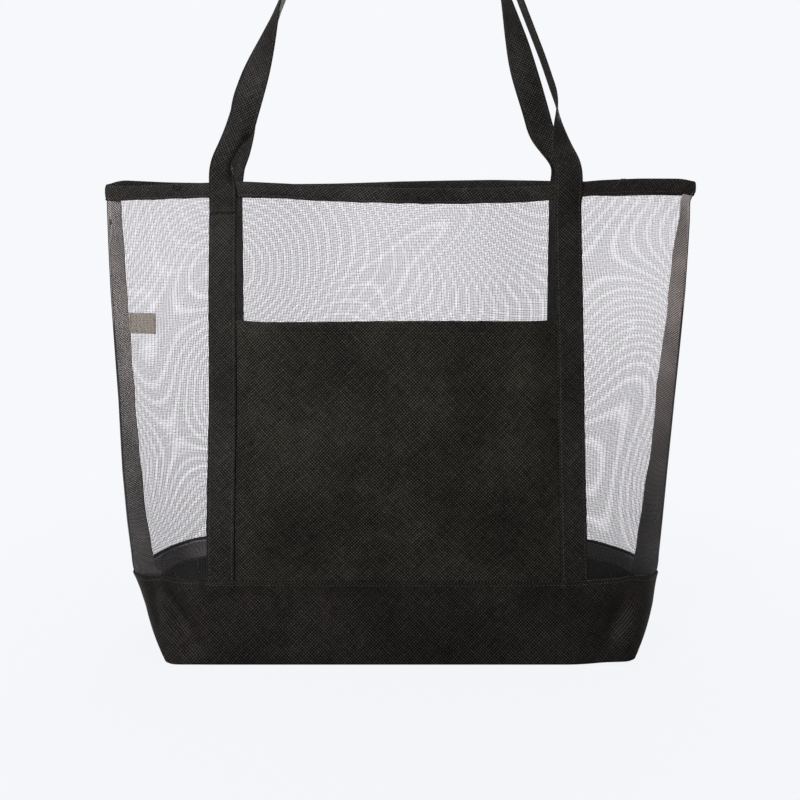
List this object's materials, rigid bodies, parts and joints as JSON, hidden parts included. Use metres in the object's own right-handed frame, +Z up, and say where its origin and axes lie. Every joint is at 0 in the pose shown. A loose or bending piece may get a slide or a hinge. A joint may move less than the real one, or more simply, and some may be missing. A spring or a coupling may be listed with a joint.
{
  "type": "beach bag",
  "caption": "See-through mesh beach tote on a boxed fabric base, with a bound rim, a front pocket and two sewn-down strap handles.",
  "frame": {"origin": "on the floor at the middle of the base", "axes": "+Z up through the mouth, front panel with the pocket towards -Y, +X to the right as the pocket is looked at"},
  "size_m": [0.5652, 0.1486, 0.692],
  "materials": {
    "black_mesh": "open knitted mesh, matte",
    "black_polyester": "woven polyester, slight sheen",
    "grey_seam_tape": "twill tape, matte",
    "black_thread": "polyester thread",
    "beige_label": "woven satin ribbon"
  },
  "bodies": {
    "bag": {"front_mesh_panel": "black_mesh", "back_mesh_panel": "black_mesh", "base_wrap": "black_polyester", "front_pocket": "black_polyester", "front_rim_binding": "black_polyester", "back_rim_binding": "black_polyester", "front_left_strap": "black_polyester", "front_right_strap": "black_polyester", "back_left_strap": "black_polyester", "back_right_strap": "black_polyester", "left_side_seam_tape": "grey_seam_tape", "right_side_seam_tape": "grey_seam_tape", "front_band_seam_tape": "grey_seam_tape", "back_band_seam_tape": "grey_seam_tape", "left_corner_seam_tape": "grey_seam_tape", "right_corner_seam_tape": "grey_seam_tape", "strap_tack_stitches": "black_thread", "rim_bar_tacks": "black_thread"},
    "front_handle_loop": {"front_handle": "black_polyester"},
    "back_handle_loop": {"back_handle": "black_polyester"},
    "care_label_tab": {"care_label": "beige_label"}
  },
  "joints": [
    {"name": "front_handle_fold", "type": "hinge", "parent": "bag", "child": "front_handle_loop", "pos_m": [0, -0.0317, 0.409], "axis": [1, 0, 0], "range_deg": [0, 165]},
    {"name": "back_handle_fold", "type": "hinge", "parent": "bag", "child": "back_handle_loop", "pos_m": [0, 0.0317, 0.409], "axis": [-1, 0, 0], "range_deg": [0, 165]},
    {"name": "care_label_swing", "type": "hinge", "parent": "bag", "child": "care_label_tab", "pos_m": [-0.2553, 0, 0.30375], "axis": [0, 0, 1], "range_deg": [-30, 30]}
  ]
}
